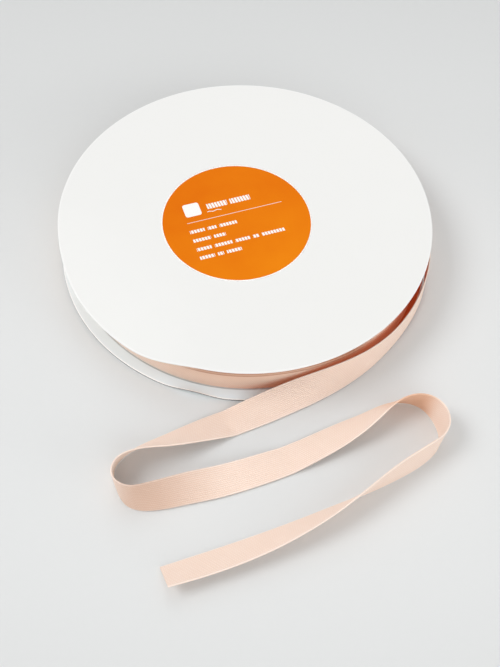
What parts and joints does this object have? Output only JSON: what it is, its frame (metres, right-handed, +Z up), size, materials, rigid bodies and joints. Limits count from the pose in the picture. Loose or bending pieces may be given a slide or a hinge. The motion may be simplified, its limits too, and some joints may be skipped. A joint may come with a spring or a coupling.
{
  "type": "roll of elastic",
  "caption": "Flat woven elastic wound between two round cards, its loose end lying in loops in front, with a round paper label on top.",
  "frame": {"origin": "on the roll's axis, at the underside of the lower card, which lies on the surface", "axes": "+Z up along the roll's axis; -Y toward the loose end, which lies in front"},
  "size_m": [0.2653, 0.3938, 0.0346],
  "materials": {
    "lower_card": "satin white board",
    "winding": "woven elastic, edge on",
    "upper_card": "satin white board",
    "label": "coated paper",
    "loose_end": "woven elastic, matt"
  },
  "bodies": {
    "root": {"lower_card": "lower_card", "winding": "winding", "upper_card": "upper_card", "label": "label", "loose_end": "loose_end"}
  },
  "joints": []
}
